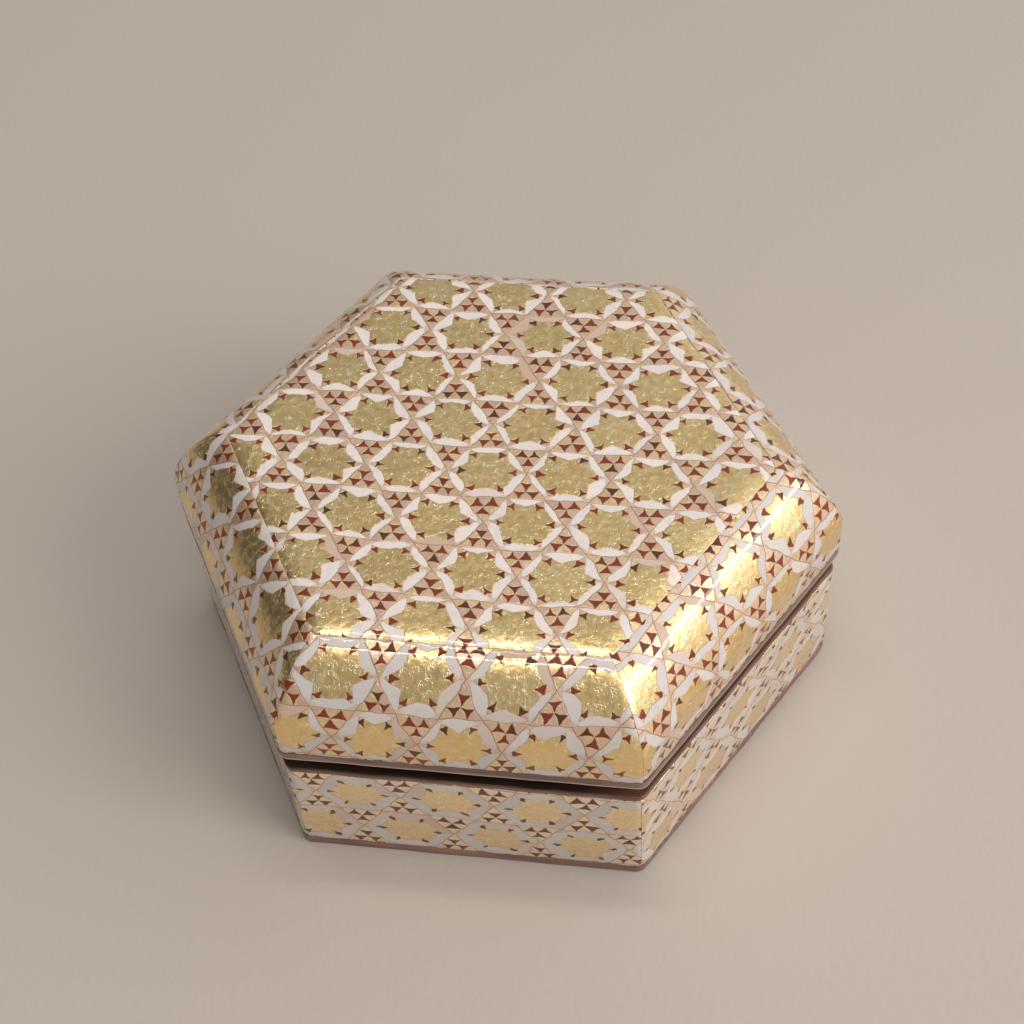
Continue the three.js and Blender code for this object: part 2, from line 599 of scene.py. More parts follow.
@dataclass(frozen=True)
class StarMarquetry:
    """Brass, bone and red wood rods glued into six-pointed stars, cut across, polished and lacquered.

    Widths and shifts are shares of the way from star to star, and scales are features in that way.
    """

    name: str = "top_marquetry"
    brass: Colour = (0.98, 0.695, 0.305)
    brass_dark: Colour = (0.88, 0.615, 0.26)
    brass_light: Colour = (1.0, 0.88, 0.55)
    brass_small: Colour = (0.90, 0.61, 0.44)
    bone: Colour = (0.86, 0.735, 0.665)
    bone_cool: Colour = (0.76, 0.685, 0.645)
    bone_tan: Colour = (0.60, 0.41, 0.30)
    red: Colour = (0.21, 0.028, 0.007)
    red_dark: Colour = (0.085, 0.022, 0.004)
    glue: Colour = (0.19, 0.085, 0.053)
    drift: float = 0.17
    drift_scale: float = 0.75
    wobble: float = 0.06
    wobble_scale: float = 4.2
    chip: float = 0.016
    chip_scale: float = 17.0
    star_shift: float = 0.06
    shift_throw: float = 7.0
    cut_throw: float = 60.0
    bone_start: float = 0.461
    bone_change: float = 0.07
    bone_swell: float = 0.08
    apex_round: float = 0.11
    apex_reach: float = 0.26
    bone_end: float = 0.89
    red_margin: float = 0.011
    red_border: Span = (-0.002, 0.003)
    red_outline: float = 0.007
    red_line: float = 0.9
    bone_line: float = 0.4
    glue_width: float = 0.010
    dark_patches: Span = (0.28, 0.52)
    light_patches: Span = (0.5, 0.8)
    light_share: float = 0.8
    small_share: Span = (0.4, 1.0)
    small_dulling: float = 0.22
    tan_rods: Span = (0.84, 1.0)
    tan_patches: Span = (0.45, 0.8)
    tan_share: float = 0.3
    bone_end_share: float = 0.7
    red_tones: Span = (0.05, 0.6)
    glue_share: float = 0.8
    facet_tilt: float = 0.02
    small_tilt: float = 0.05
    mottle_scale: float = 9.0
    mottle_depth: float = 0.02
    crinkle_scale: float = 12.0
    crinkle_depth: float = 0.065
    thread_scale: Span = (24.0, 12.0)
    thread_warp: float = 1.4
    thread_width: float = 0.09
    thread_patches: Span = (0.4, 0.6)
    thread_share: float = 0.7
    thread_depth: float = 0.03
    glue_depth: float = 0.007
    rod_step: float = 0.006
    brass_roughness: float = 0.29
    rod_roughness: float = 0.42
    crinkle_roughness: float = 0.16
    glue_roughness: float = 0.2

    def pattern(self, graph: Graph) -> Inlay:
        """Draws the lattice.

        Three sets of parallel lines cut the plane into hexagons and triangles. In each hexagon, two
        large triangles cross to a star. Its heart is brass, the six flat triangles round it are bone,
        each as thick and as blunt as chance has it, and each point is cut into four. Each triangle
        between the stars is cut into nine. The red rods are drawn in most at the middle of their sides.

        Args:
            graph: The finish's node graph.

        Returns:
            The masks of the materials and of the glue lines, and random numbers for each rod.
        """
        place = graph.map_place(STAR_MAP)
        u, v, _ = graph.split(place)
        slow = graph.split(graph.cloud(place, self.drift_scale, 1.0)[1])
        quick = graph.split(graph.cloud(place, self.wobble_scale)[1])
        rough = graph.split(graph.cloud(place, self.chip_scale)[1])
        u, v = (
            way
            + (slow[axis] - 0.5) * self.drift
            + (quick[axis] - 0.5) * self.wobble
            + (rough[axis] - 0.5) * self.chip
            for axis, way in enumerate((u, v))
        )
        third = v * (1 / math.sqrt(3))
        lines = (third * 2.0, -u - third, u - third)
        cells = tuple(line.nearest() for line in lines)
        inside = tuple(line - cell for line, cell in zip(lines, cells))
        cell = graph.joined(*cells)
        in_star = (cells[0] + cells[1] + cells[2]).size() < 0.5

        # The star. Its three axes are shifted by chance, and each sixth of it has its own throw.
        shift = graph.split(graph.dice(cell, self.shift_throw)[1])
        first = inside[0] - inside[1] + (shift[0] - 0.5) * self.star_shift
        second = inside[1] - inside[2] + (shift[1] - 0.5) * self.star_shift
        last = -first - second
        order = (first > second) + (second > last) * 2.0 + (last > first) * 4.0
        cut = graph.split(graph.dice(cell, order + self.cut_throw)[1])
        half = (cut[0] - 0.5) * self.bone_change + (quick[2] - 0.5) * self.bone_swell + self.bone_start
        high = largest(first, second, last)
        low = -smallest(first, second, last)
        far = high.most(low)
        near = high.least(low)
        beyond = far > half
        at_apex = graph.ease((high - low).size(), 0.0, self.apex_reach, 1.0, 0.0)
        blunt = at_apex * cut[1] * self.apex_round
        thick = near - blunt - half
        both = thick > 0.0
        in_bone = in_star * both
        in_point = in_star * beyond * both.inverse()
        tip = far * 2.0 - 1.0
        flank = 1.0 - (far - near) * 2.0
        at_foot = flank > 0.5
        at_tip = tip > 0.5
        red_point = in_point * at_foot.inverse() * at_tip.inverse()
        widest = largest(*(part.size() for part in inside))
        to_cell = (0.5 - widest) * ROW_RISE
        to_star = thick.size() * 0.5
        to_part = (0.5 - tip).least(0.5 - flank) * 0.25

        # The triangle between the stars, whose sides are each cut in three.
        shares = tuple(3.0 - part.size() * 6.0 for part in inside)
        thirds = tuple(share.floor() for share in shares)
        rests = tuple(1.0 - share.fraction() for share in shares)
        to_outside = smallest(*shares) * (ROW_RISE / 6)
        to_third = smallest(*rests) * (ROW_RISE / 6)
        in_between = in_star.inverse()
        red_between = in_between * ((thirds[0] + thirds[1] + thirds[2]) < 1.5)
        between_waist = 1.0 - largest(*rests)
        star_waist = tip.least(1.0 - near * 2.0) * 2.0

        # Each rod of a cell has a number of its own: bones from 10, points from 20, the rest from 400.
        signs = (first > 0.0) + (second > 0.0) * 2.0 + (last > 0.0) * 4.0
        bone_number = in_bone * (order + 10.0)
        point_number = in_point * (signs + 20.0 + red_point * 16.0 + at_foot * (order + 1.0) * 32.0)
        between_number = in_between * (thirds[0] * 9.0 + thirds[1] * 3.0 + thirds[2] + 400.0)
        chance, chances = graph.dice(cell, bone_number + point_number + between_number)
        red_rod = red_point + red_between
        waist = graph.between(in_star, between_waist, star_waist)
        inset = waist * (chance * 0.8 + 0.6) * (2.0 * self.red_margin)
        to_red = graph.between(in_star, to_third, to_part) - inset
        to_edge = graph.between(in_star, to_outside, to_cell)
        edge_lines = graph.ease(to_edge, 0.0, self.glue_width, 1.0, 0.0)
        bone_lines = in_star * graph.ease(to_star, 0.0, self.glue_width, self.bone_line, 0.0)
        red_lines = red_rod * graph.ease(to_red.size(), 0.0, self.red_outline, self.red_line, 0.0)
        return Inlay(
            bone=in_bone,
            bone_end=in_bone * (far > self.bone_end),
            red=red_rod * graph.ease(to_red, *self.red_border),
            small=in_between + in_point * at_tip,
            glued=largest(edge_lines, bone_lines, red_lines),
            chance=chance,
            chances=chances,
            place=place,
        )

    def material(self) -> bpy.types.Material:
        """The finished material.

        Returns:
            A material that reads the sheet's own pattern map.
        """
        graph = Graph(self.name)
        inlay = self.pattern(graph)
        one, two, three = graph.split(inlay.chances)
        glued = inlay.glued
        mottle, _ = graph.cloud(inlay.place, self.mottle_scale, 2.0)
        crinkle, _ = graph.cloud(inlay.place, self.crinkle_scale, 1.0)
        along, up, _ = graph.split(inlay.place)
        thread_place = graph.joined(along * self.thread_scale[0], up * self.thread_scale[1], 0.0)
        streak, _ = graph.cloud(thread_place, 1.0, 0.0, self.thread_warp)
        thread = graph.ease((streak - 0.5).size(), 0.0, self.thread_width, 1.0, 0.0)
        thread = thread * graph.ease(mottle, *self.thread_patches)

        patch = mottle * 0.85 + one * 0.15
        brass = graph.tinted(graph.ease(patch, *self.dark_patches), self.brass_dark, self.brass)
        light = graph.ease(patch, *self.light_patches, 0.0, self.light_share)
        brass = graph.tinted(light, brass, self.brass_light)
        brass = graph.tinted(thread * self.thread_share, brass, self.brass_light)
        small = inlay.small * graph.ease(two, 0.0, 1.0, *self.small_share)
        brass = graph.tinted(small, brass, self.brass_small)
        bone = graph.tinted(one, self.bone, self.bone_cool)
        tans = (
            graph.ease(two, *self.tan_rods),
            graph.ease(mottle, *self.tan_patches, 0.0, self.tan_share),
            inlay.bone_end * self.bone_end_share,
        )
        for tan in tans:
            bone = graph.tinted(tan, bone, self.bone_tan)
        red = graph.tinted(graph.ease(three, *self.red_tones), self.red_dark, self.red)
        colour = graph.tinted(inlay.bone, brass, bone)
        colour = graph.tinted(inlay.red, colour, red)
        colour = graph.tinted(glued * self.glue_share, colour, self.glue)

        metal = inlay.bone.inverse() * inlay.red.inverse() * glued.inverse()
        metal = metal * (1.0 - inlay.small * self.small_dulling)
        roughness = graph.between(metal, self.rod_roughness, self.brass_roughness)
        roughness = roughness + (crinkle - 0.5) * self.crinkle_roughness + glued * self.glue_roughness
        lean = graph.vector_math("SUBTRACT", inlay.chances, (0.5, 0.5, 0.5))
        lean = graph.scaled(lean, inlay.small * self.small_tilt + self.facet_tilt)
        normal = graph.vector_math("NORMALIZE", graph.vector_math("ADD", graph.surface_normal(), lean))
        relief = (crinkle * self.crinkle_depth + thread * self.thread_depth) * metal
        relief = relief + glued * -self.glue_depth + inlay.chance * self.rod_step
        relief = relief + mottle * self.mottle_depth
        return graph.finish(
            {
                "Base Color": colour,
                "Metallic": metal,
                "Roughness": roughness,
                "Normal": graph.bumped(relief, MM, normal),
                "Specular IOR Level": 0.2,
                "Coat Weight": 0.8,
                "Coat Roughness": 0.05,
                "Coat IOR": 1.5,
            }
        )


class Grain(Enum):
    """How a wooden piece's grain is laid."""

    ROUND = "round"
    STRAIGHT = "straight"


class Measure(Enum):
    """What the end of a painted tone (painted shade, or wear with a painted highlight) is measured along.
    """

    HEIGHT = "height"
    LINE = "line"


@dataclass(frozen=True)
class Stain:
    """A tone painted over a wooden piece up to a place along a measure, fading out there: painted shade,
    or wear with a painted highlight.

    It is painted lighter between the two places along X that it is given, if any, where light reaches
    further in.
    """

    measure: Measure
    until: float
    fade: float
    tone: Colour
    share: float
    lit_span: Span | None = None
    lit_share: float = 0.35


@dataclass(frozen=True)
class BrownWood:
    """Reddish brown hardwood under varnish, with its grain along each side or straight across a board."""

    name: str
    grain: Grain
    dark: Colour = (0.060, 0.018, 0.009)
    middle: Colour = (0.165, 0.052, 0.024)
    light: Colour = (0.33, 0.125, 0.055)
    stain: Stain | None = None
    fibre_scale: Span = (90.0, 1900.0)
    streak_scale: Span = (22.0, 260.0)
    blotch_scale: float = 75.0
    middle_tones: Span = (0.42, 0.62)
    light_tones: Span = (0.58, 0.82)
    pores: Span = (0.3, 0.42)
    pore_share: float = 0.5
    roughness: float = 0.36

    def material(self) -> bpy.types.Material:
        """The finished material.

        Returns:
            A material that reads the piece's grain map or its object coordinates.
        """
        graph = Graph(self.name)
        place = graph.map_place(GRAIN_MAP) if self.grain is Grain.ROUND else graph.object_place()
        along, across, deep = graph.split(place)
        places = [
            graph.joined(along * length, across * width, deep * width)
            for length, width in (self.fibre_scale, self.streak_scale)
        ]
        fibre, _ = graph.cloud(places[0], 1.0, 2.0)
        streak, _ = graph.cloud(places[1], 1.0, 3.0, 0.6)
        blotch, _ = graph.cloud(place, self.blotch_scale, 2.0)
        tone = streak * 0.6 + fibre * 0.3 + blotch * 0.3
        colour = graph.tinted(graph.ease(tone, *self.middle_tones), self.dark, self.middle)
        colour = graph.tinted(graph.ease(tone, *self.light_tones), colour, self.light)
        pore = graph.ease(fibre, *self.pores, 1.0, 0.0)
        colour = graph.tinted(pore * self.pore_share, colour, self.dark)
        # Painted light: a tone over the wood up to a height or a place along the line. It is painted
        # shade deep in the wall's recess, and wear with a painted highlight along the lid's lip.
        if self.stain is not None:
            sideways, _, height = graph.split(graph.object_place())
            measured = height if self.stain.measure is Measure.HEIGHT else across
            start, end = self.stain.until - self.stain.fade, self.stain.until
            share = graph.ease(measured, start, end, self.stain.share, 0.0)
            if self.stain.lit_span is not None:
                share = share * graph.ease(sideways, *self.stain.lit_span, 1.0, self.stain.lit_share)
            colour = graph.tinted(share, colour, self.stain.tone)
        roughness = self.roughness + (blotch - 0.5) * 0.3 + pore * 0.15
        relief = fibre * 0.035 + streak * 0.05 - pore * 0.03
        return graph.finish(
            {
                "Base Color": colour,
                "Roughness": roughness,
                "Normal": graph.bumped(relief, MM),
                "Coat Weight": 0.25,
                "Coat Roughness": 0.2,
            }
        )


@dataclass(frozen=True)
class PaleFloor:
    """A plain pale matt floor with the faintest cloudiness."""

    tone: Colour = (0.52, 0.45, 0.387)
    shade: Colour = (0.50, 0.43, 0.367)

    def material(self) -> bpy.types.Material:
        """The finished material."""
        graph = Graph("pale_floor")
        cloud, _ = graph.cloud(graph.object_place(), 9.0, 3.0)
        fine, _ = graph.cloud(graph.object_place(), 900.0, 2.0)
        return graph.finish(
            {
                "Base Color": graph.tinted(cloud, self.tone, self.shade),
                "Roughness": 0.7,
                "Normal": graph.bumped(fine, 0.05 * MM),
            }
        )


TOP_MARQUETRY = StarMarquetry()
# The shoulders' bone is toned darker than the top's: painted shade.
SHOULDER_MARQUETRY_PAINTED_SHADE = StarMarquetry(
    name="shoulder_marquetry_painted_shade",
    bone_start=0.44,
    bone=(0.68, 0.595, 0.55),
    bone_cool=(0.61, 0.555, 0.53),
)
# Painted light: the base's bone and red are toned darker as painted shade, and its brass lighter and
# paler as a painted reflection of the lit floor.
BASE_MARQUETRY_PAINTED_LIGHT = StarMarquetry(
    name="base_marquetry_painted_light",
    bone_start=0.385,
    brass=(1.0, 0.78, 0.46),
    brass_dark=(0.90, 0.68, 0.37),
    brass_light=(1.0, 0.88, 0.62),
    brass_small=(0.97, 0.76, 0.62),
    bone=(0.66, 0.575, 0.51),
    bone_cool=(0.57, 0.51, 0.47),
    red=(0.15, 0.035, 0.015),
    red_dark=(0.07, 0.028, 0.014),
)
BOARD_WOOD = BrownWood(
    "board_wood",
    Grain.STRAIGHT,
    dark=(0.085, 0.034, 0.022),
    middle=(0.20, 0.10, 0.065),
    light=(0.36, 0.20, 0.13),
)
WALL_WOOD_WITH_PAINTED_SHADE = BrownWood(
    "wall_wood_painted_shade",
    Grain.ROUND,
    dark=(0.12, 0.046, 0.027),
    middle=(0.20, 0.083, 0.048),
    light=(0.38, 0.17, 0.10),
    # The near-black tone on the ledge under the lid's lip is painted shade, painted lighter towards +X
    # where light reaches in.
    stain=Stain(Measure.LINE, 17.35 * MM, 0.3 * MM, (0.010, 0.004, 0.003), 0.92, (12 * MM, 26 * MM)),
)
LID_WOOD_WORN_PAINTED_HIGHLIGHT = BrownWood(
    "lid_wood",
    Grain.ROUND,
    dark=(0.08, 0.042, 0.030),
    middle=(0.17, 0.098, 0.072),
    light=(0.27, 0.17, 0.13),
    # The pale tone along the lip's lower edge is wear plus a painted highlight of the rounded edge.
    stain=Stain(Measure.HEIGHT, PLAN.lip + 0.36 * MM, 0.14 * MM, (0.66, 0.50, 0.45), 0.85),
)


# The marquetry


@dataclass(frozen=True)
class SideSheet:
    """A marquetry sheet on one side, from mitre to mitre: a closed shell of the sheet's thickness."""

    side: Side
    outline: Profile
    lattice: Lattice
    ripple: Ripple
    wear: Ripple
    ease: float = 0.07 * MM
    row_step: float = 0.45 * MM
    column_steps: int = 96
    wear_reach: float = 0.5 * MM

    def shell(self, plan: Plan) -> Shell:
        """Builds the shell.

        The outer face is the outline carried along the side, lowered by its eased edges, its ripple and
        its wear. The inner face is the same grid set in by the thickness, and strips join their borders.

        Args:
            plan: The box's sizes.

        Returns:
            The closed mesh with the pattern's coordinates.
        """
        length = self.outline.run[-1]
        places = eased_places(length, self.row_step, self.ease)
        outer = self.outline.resampled(places)
        spoke, normal = HexPath(self.column_steps).side()
        arris = np.full(len(places), plan.arris)
        points = swept(outer.line, arris, spoke, normal)
        facing = self.facing(outer.normals, normal)
        falling = eased_depth(places, length, self.ease)[:, None]
        edge_share = np.exp(-np.minimum(places, length - places) / self.wear_reach)[:, None]
        turned_points = self.placed(points, plan)
        sunk = falling + self.ripple.at(turned_points) + edge_share * self.wear.at(turned_points)
        face = points - sunk[..., None] * facing

        inner_line = np.maximum(outer.line - plan.sheet * outer.normals, 0)
        corner = np.full(len(places), plan.inner_corner)
        back = swept(inner_line, corner, spoke, normal)
        rows, columns = face.shape[:2]
        grid = np.concatenate([self.placed(face, plan), self.placed(back[::-1], plan)])
        quads = grid_quads(2 * rows, columns, True, False)
        up = np.arange(rows - 1)
        down = 2 * rows - 1 - up
        start = np.stack([up * columns, (up + 1) * columns, (down - 1) * columns, down * columns], -1)
        end = start[:, ::-1] + columns - 1
        quads = np.concatenate([quads, start, end])

        reach = np.broadcast_to(points[..., 1], (rows, columns))
        rise = np.broadcast_to((places - length)[:, None], (rows, columns))
        flat = self.lattice.coordinates(reach, rise)
        uv = np.concatenate([flat, flat[::-1]]).reshape(-1, 2)
        return Shell(grid.reshape(-1, 3), quads, uv[quads])

    @staticmethod
    def facing(profile_normals: np.ndarray, path_normals: np.ndarray) -> np.ndarray:
        """The grid's outward directions: the profile's normal, with its level part along the path's."""
        level = profile_normals[:, 0][:, None, None] * path_normals[None]
        upright = np.broadcast_to(profile_normals[:, 1][:, None, None], level.shape[:2] + (1,))
        return np.concatenate([level, upright], -1)

    def placed(self, points: np.ndarray, plan: Plan) -> np.ndarray:
        """Draws the ends in by half the mitre gap and turns the grid to its side."""
        half_gap = plan.mitre_gap / (2 * COS_30)
        squeeze = 1 - half_gap / (points[..., 0] * TAN_30)
        flat = np.stack([points[..., 0], points[..., 1] * squeeze], -1)
        return np.concatenate([turned(flat, self.side.turn), points[..., 2:]], -1)


@dataclass
class SideSheets:
    """The six sheets of a storey of the box."""

    label: str
    node: str
    outline: Profile
    lattices: dict[Side, Lattice]
    ripple_depth: float
    seed: int
    ripple_length: float = 9 * MM
    wear_seed: int = 20
    wear_depth: float = 0.16 * MM
    wear_length: float = 1.6 * MM
    wear_waves: int = 30

    def build(self, plan: Plan, finish: bpy.types.Material) -> list[bpy.types.Object]:
        """Builds and dresses the sheets.

        Args:
            plan: The box's sizes.
            finish: The marquetry's material.

        Returns:
            The six pieces.
        """
        pieces = []
        for side in Side:
            seed = self.seed + side.value
            ripple = Ripple(seed, self.ripple_depth, self.ripple_length)
            wear = Ripple(seed + self.wear_seed, self.wear_depth, self.wear_length, self.wear_waves)
            sheet = SideSheet(side, self.outline, self.lattices[side], ripple, wear)
            piece = sheet.shell(plan).piece(f"{self.label}_{side.label}", STAR_MAP)
            dress(piece, finish, f"{self.node}_{side.label}")
            pieces.append(piece)
        return pieces


@dataclass
class TopSheet:
    """The flat six-sided sheet on top of the lid, which turns down slightly towards the seam."""

    lattice: Lattice
    ease: float = 0.07 * MM
    ring_step: float = 0.6 * MM
    ripple: Ripple = Ripple(71, 0.07 * MM, 11 * MM)
    wear: Ripple = Ripple(72, 0.16 * MM, 1.6 * MM, 36)
    wear_reach: float = 0.5 * MM
    path: HexPath = HexPath(60)

    def build(self, plan: Plan, finish: bpy.types.Material) -> bpy.types.Object:
        """Builds and dresses the sheet.

        The face is rings of the hexagon from the middle out. Its height is the top less the crown's
        fall, which grows with the square of the way into the crown's width, less ripple and wear.

        Args:
            plan: The box's sizes.
            finish: The marquetry's material.

        Returns:
            The piece.
        """
        border = plan.seam_apothem - plan.mitre_gap
        near = eased_steps(self.ease)
        count = round((border - self.ease) / self.ring_step)
        rings = np.concatenate([np.linspace(0, border - self.ease, count + 1)[1:-1], border - near[::-1]])
        crown = np.clip((rings - (plan.seam_apothem - plan.crown_width)) / plan.crown_width, 0, 1)
        fall = (plan.top - plan.seam) * crown**2
        fall = fall + eased_depth(rings, border, self.ease)
        spoke, normal, _ = self.path.around()
        corner = np.minimum(plan.arris, 0.5 * rings)
        face = swept(np.stack([rings, plan.top - fall], -1), corner, spoke, normal)
        edge_share = np.exp(-(border - rings) / self.wear_reach)[:, None]
        face[..., 2] -= self.ripple.at(face) + edge_share * self.wear.at(face)
        back_rings = np.array([border, 0.5 * border])
        back_line = np.stack([back_rings, np.full(2, plan.seam - plan.sheet)], -1)
        back = swept(back_line, np.full(2, plan.arris), spoke, normal)
        grid = np.concatenate([face, back])
        shell = closed_by_poles(grid, face[0, :, 2].mean(), plan.seam - plan.sheet)
        flat = self.lattice.coordinates(shell.points[:, 0], shell.points[:, 1])
        shell.quad_uv = flat[shell.quads]
        shell.tri_uv = flat[shell.tris]
        piece = shell.piece("top_sheet", STAR_MAP)
        dress(piece, finish, "lid_top_panel")
        return piece


def closed_by_poles(grid: np.ndarray, first_height: float, last_height: float) -> Shell:
    """Closes a grid of rings by a point on the axis at each end. The rings go from the top out and down.

    Args:
        grid: The rings' points.
        first_height: The height of the point that closes the first ring.
        last_height: The height of the point that closes the last ring.

    Returns:
        The closed mesh, with empty flat coordinates.
    """
    rows, columns = grid.shape[:2]
    points = np.concatenate([grid.reshape(-1, 3), [[0, 0, first_height], [0, 0, last_height]]])
    quads = grid_quads(rows, columns, False, True)[:, ::-1]
    here = np.arange(columns)
    beside = (here + 1) % columns
    first_fan = np.stack([np.full(columns, rows * columns), here, beside], -1)
    last = (rows - 1) * columns
    last_fan = np.stack([np.full(columns, rows * columns + 1), last + beside, last + here], -1)
    tris = np.concatenate([first_fan, last_fan])
    return Shell(points, quads, np.zeros((len(quads), 4, 2)), tris, np.zeros((len(tris), 3, 2)))


# The wooden body


@dataclass
class WoodRing:
    """A wooden piece that goes all round: a closed upright line carried round the hexagon."""

    name: str
    node: str
    corners: list[tuple[float, float]]
    eases: list[float]
    arris: float
    ripple: Ripple
    on_axis: bool = False
    path: HexPath = HexPath(48)
    step: float = 2.0 * MM
    ease_steps: int = 4
    face_depth: float = 1.0 * MM
    least_reach: float = 5 * MM

    def line(self) -> np.ndarray:
        """The line with each corner eased by a quadratic curve, and long stretches cut into steps."""
        corners = np.array(self.corners)
        count = len(corners)
        rows = []
        for number, (corner, ease) in enumerate(zip(corners, self.eases)):
            before = corners[(number - 1) % count]
            after = corners[(number + 1) % count]
            if self.on_axis and number in (0, count - 1):
                rows.append(corner[None])
                continue
            start = corner + unit(before - corner) * ease
            end = corner + unit(after - corner) * ease
            share = np.linspace(0, 1, self.ease_steps + 1)[:, None]
            rows.append((1 - share) ** 2 * start + 2 * share * (1 - share) * corner + share**2 * end)
        return subdivided(np.concatenate(rows), self.step, not self.on_axis)

    def build(self, plan: Plan, finish: bpy.types.Material) -> bpy.types.Object:
        """Builds and dresses the piece.

        Args:
            plan: The box's sizes.
            finish: The wood's material.

        Returns:
            The piece, with its grain along each side.
        """
        line = self.line()
        spoke, normal, sides = self.path.around()
        outermost = line[:, 0].max()
        corner = np.where(line[:, 0] > outermost - self.face_depth, self.arris, plan.inner_corner)
        corner = np.minimum(corner, 0.5 * line[:, 0])
        if self.on_axis:
            line, corner = line[1:-1], corner[1:-1]
        grid = swept(line, corner, spoke, normal)
        reach = np.maximum(line[:, 0], self.least_reach)[:, None, None]
        grid[..., :2] *= 1 - self.ripple.at(grid)[..., None] / reach
        if self.on_axis:
            heights = (self.corners[0][1], self.corners[-1][1])
            shell = closed_by_poles(grid, *heights)
        else:
            rows, columns = grid.shape[:2]
            quads = grid_quads(rows, columns, True, True)[:, ::-1]
            shell = Shell(grid.reshape(-1, 3), quads, np.zeros((len(quads), 4, 2)))
        run = np.concatenate([Profile(line).run, [0.0, 0.0]])
        columns = grid.shape[1]
        shell.quad_uv = self.grain_map(shell, shell.quads, sides, run, columns)
        if len(shell.tris):
            shell.tri_uv = self.grain_map(shell, shell.tris, sides, run, columns)
        piece = shell.piece(self.name, GRAIN_MAP)
        dress(piece, finish, self.node)
        return piece

    @staticmethod
    def grain_map(
        shell: Shell, faces: np.ndarray, sides: np.ndarray, run: np.ndarray, columns: int
    ) -> np.ndarray:
        """Flat coordinates of each face's corners: along its own side, and along the carried line.

        Args:
            shell: The mesh.
            faces: The faces' corner numbers.
            sides: The side number of each column.
            run: The carried line's length up to each row.
            columns: The number of columns.

        Returns:
            The coordinates, with each side shifted so that no two sides share their grain.
        """
        face_side = sides[faces.min(axis=1) % columns]
        turns = np.array([side.turn for side in Side])[face_side]
        along = np.stack([-np.sin(turns), np.cos(turns)], -1)
        place = shell.points[faces][..., :2]
        reach = np.einsum("fck,fk->fc", place, along) + face_side[:, None] * GRAIN_SHIFT
        row = np.minimum(faces // columns, len(run) - 1)
        return np.stack([reach, run[row]], -1)


def unit(vector: np.ndarray) -> np.ndarray:
    """The vector at length one."""
    return vector / np.linalg.norm(vector)


def subdivided(line: np.ndarray, step: float, closed: bool) -> np.ndarray:
    """The line with extra points, so that no stretch is much longer than the step."""
    nexts = np.roll(line, -1, axis=0) if closed else line[1:]
    starts = line if closed else line[:-1]
    rows = []
    for start, end in zip(starts, nexts):
        count = max(1, math.ceil(np.linalg.norm(end - start) / step))
        rows.append(start + (end - start) * (np.arange(count) / count)[:, None])
    if not closed:
        rows.append(line[-1:])
    return np.concatenate(rows)


@dataclass
class WoodBody:
    """The bottom board, the wall ring with its rim strip and tongue, and the lid's hollow body."""

    plan: Plan
    shoulder_stride: int = 9

    def board(self) -> WoodRing:
        """The bottom board: its edge shows, and its middle is let in under the walls."""
        plan = self.plan
        core = plan.base_apothem - plan.sheet - plan.glue
        corners = [(0.0, plan.board), (core, plan.board), (core, plan.board_edge)]
        corners += [(plan.base_apothem, plan.board_edge), (plan.base_apothem, 0.0), (0.0, 0.0)]
        eases = [0.0, 0.2 * MM, 0.1 * MM, 0.25 * MM, 0.35 * MM, 0.0]
        ripple = Ripple(31, 0.12 * MM, 7 * MM)
        return WoodRing("bottom_board", "base_board", corners, eases, plan.arris, ripple, True)

    def walls(self) -> WoodRing:
        """The wall ring: the rim strip over the sheets, the ledge and the tongue inside it."""
        plan = self.plan
        core = plan.base_apothem - plan.sheet - plan.glue
        tongue = plan.lid_apothem - plan.lid_wall - plan.lid_clearance
        cavity = tongue - plan.tongue
        foot = plan.board + plan.glue
        under_rim = plan.panel_top + plan.glue
        corners = [(cavity, plan.tongue_top), (tongue, plan.tongue_top), (tongue, plan.rim_top)]
        corners += [(plan.base_apothem, plan.rim_top), (plan.base_apothem, under_rim), (core, under_rim)]
        corners += [(core, foot), (cavity, foot)]
        eases = [0.5 * MM, 0.6 * MM, 0.2 * MM, 0.3 * MM, 0.2 * MM, 0.1 * MM, 0.2 * MM, 0.2 * MM]
        ripple = Ripple(32, 0.14 * MM, 6 * MM)
        return WoodRing("wall_ring", "base_walls", corners, eases, plan.arris, ripple)

    def lid(self) -> WoodRing:
        """The lid's body: its lip edge shows, and the step inside rests on the tongue."""
        plan = self.plan
        inset = plan.sheet + plan.glue
        outer = lid_outline(plan, plan.lip_edge)
        shoulder = outer.line - inset * outer.normals
        shoulder[:, 0] = np.minimum(shoulder[:, 0], plan.lid_apothem - inset)
        peak = shoulder[-1, 1]
        cavity = plan.lid_apothem - plan.lid_wall
        upper = cavity - plan.step_width
        picked = shoulder[:: -self.shoulder_stride]
        corners = [(0.0, peak)] + [tuple(row) for row in picked]
        corners += [(plan.lid_apothem - inset, plan.lip_edge), (plan.lid_apothem, plan.lip_edge)]
        corners += [(plan.lid_apothem, plan.lip), (cavity, plan.lip), (cavity, plan.lid_step)]
        corners += [(upper, plan.lid_step), (upper, peak - plan.ceiling), (0.0, peak - plan.ceiling)]
        eases = [0.0] + [0.05 * MM] * len(picked) + [0.05 * MM, 0.12 * MM, 0.15 * MM]
        eases += [0.3 * MM, 0.3 * MM, 0.5 * MM, 0.8 * MM, 0.0]
        ripple = Ripple(33, 0.1 * MM, 6 * MM)
        return WoodRing("lid_body", "lid_shell", corners, eases, plan.arris, ripple, True)


def dress(piece: bpy.types.Object, finish: bpy.types.Material, node: str) -> None:
    """Gives a piece its material, its place on the body and the node it stands for.

    Args:
        piece: The finished piece.
        finish: Its material.
        node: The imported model's node that it replaces.
    """
    piece.data.materials.append(finish)
    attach(piece, "root")
    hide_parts(node)
    log.info("%s: %d faces, stands for %s", piece.name, len(piece.data.polygons), node)


# The studio


